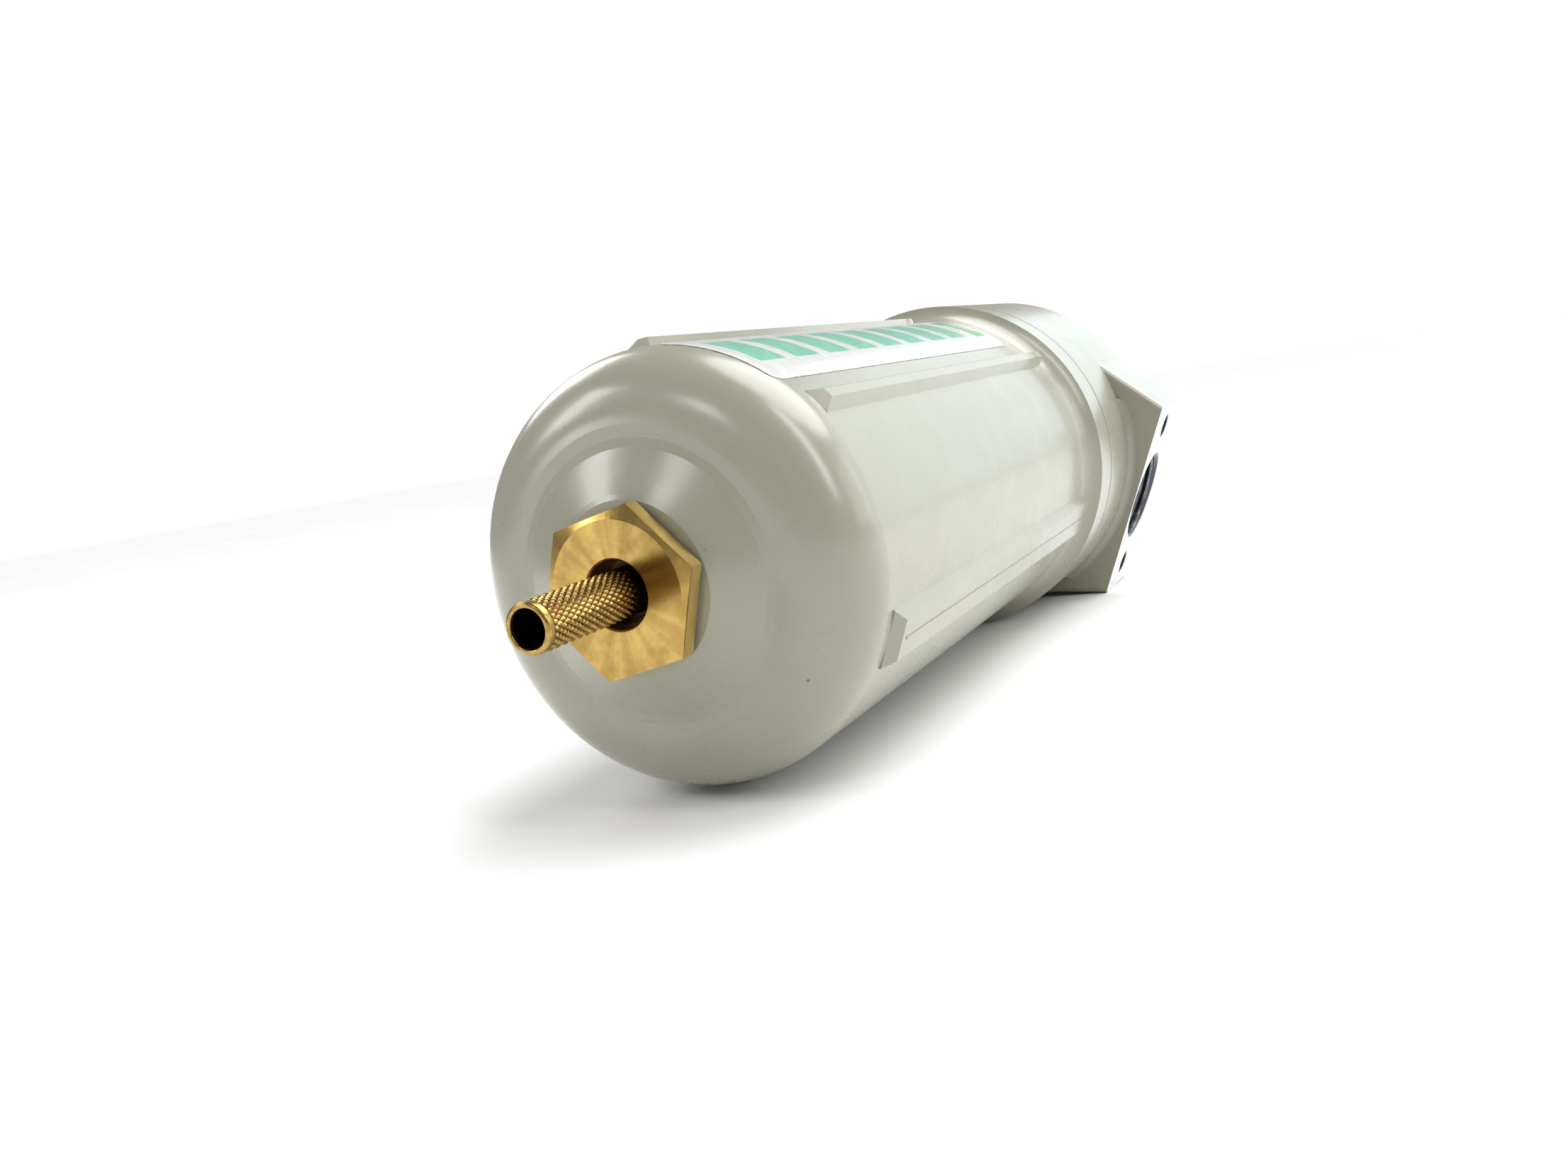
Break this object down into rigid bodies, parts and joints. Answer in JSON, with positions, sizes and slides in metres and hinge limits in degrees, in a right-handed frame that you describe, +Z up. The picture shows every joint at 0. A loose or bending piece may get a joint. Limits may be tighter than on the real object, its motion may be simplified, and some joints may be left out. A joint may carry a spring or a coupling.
{
  "type": "compressed-air filter",
  "caption": "Cylindrical die-cast inline air filter lying on its side, with opposed port blocks, a ribbed screw-on bowl, an internal element and a float drain with knurled stem.",
  "frame": {"origin": "middle of the footprint, on the floor that the filter lies on", "axes": "+Z up, +Y along the bowl from the drain towards the head, +X to the side whose port block touches the floor"},
  "size_m": [0.1094, 0.249, 0.0895],
  "materials": {
    "paint": "semi-gloss warm grey enamel over a fine cast surface",
    "brass": "turned and milled, lightly tarnished",
    "stem_brass": "diamond knurled",
    "foil": null,
    "rubber": "smooth nitrile",
    "fibre": "pressed fibre",
    "cap": "moulded end cap",
    "steel": "rolled perforated sheet",
    "plug_steel": "zinc plated",
    "medium": "pleated glass fibre paper",
    "sock": "open foam",
    "white_plastic": "moulded",
    "float_foam": "closed cell foam"
  },
  "bodies": {
    "head": {"head": "paint", "plug_inlet": "plug_steel", "plug_outlet": "plug_steel", "plug_seal_inlet": "rubber", "plug_seal_outlet": "rubber"},
    "bowl_seal": {"bowl_oring": "rubber"},
    "bowl": {"bowl": "paint", "label": "foil", "drain_body": "brass", "drain_gasket": "fibre", "float_cage": "white_plastic", "strainer": "steel", "lever_pin": "steel"},
    "element": {"element_top_cap": "cap", "element_oring_upper": "rubber", "element_oring_lower": "rubber", "element_inner_core": "steel", "filter_media": "medium", "element_outer_core": "steel", "drain_sock": "sock", "element_bottom_cap": "cap"},
    "stem": {"drain_stem": "stem_brass", "stem_oring": "rubber", "stem_clip": "steel"},
    "float": {"float": "float_foam"},
    "lever": {"lever": "white_plastic", "valve_pad": "rubber"}
  },
  "joints": [
    {"name": "bowl_unscrew", "type": "slide", "parent": "head", "child": "bowl_seal", "axis": [0, -0.9999, -0.0163], "range_m": [0, 0.012]},
    {"name": "bowl_turn", "type": "hinge", "parent": "bowl_seal", "child": "bowl", "pos_m": [0, 0.06931, 0.04414], "axis": [0, -0.9999, -0.0163], "range_deg": [0, 1440]},
    {"name": "element_pull", "type": "slide", "parent": "head", "child": "element", "axis": [0, -0.9999, -0.0163], "range_m": [0, 0.01]},
    {"name": "stem_turn", "type": "hinge", "parent": "bowl", "child": "stem", "pos_m": [0, -0.11067, 0.04121], "axis": [0, -0.9999, -0.0163], "range_deg": [0, 360]},
    {"name": "float_rise", "type": "slide", "parent": "bowl", "child": "float", "axis": [0, 0.9999, 0.0163], "range_m": [0, 0.004]},
    {"name": "lever_lift", "type": "hinge", "parent": "bowl", "child": "lever", "pos_m": [-0.01193, -0.05201, 0.04734], "axis": [0.3977, -0.015, 0.9174], "range_deg": [0, 8.49]}
  ],
  "couplings": [
    {"joint": "bowl_unscrew", "follows": "bowl_turn", "m_per_rad": 0.00047746},
    {"joint": "lever_lift", "follows": "float_rise", "rad_per_m": 37.037}
  ]
}
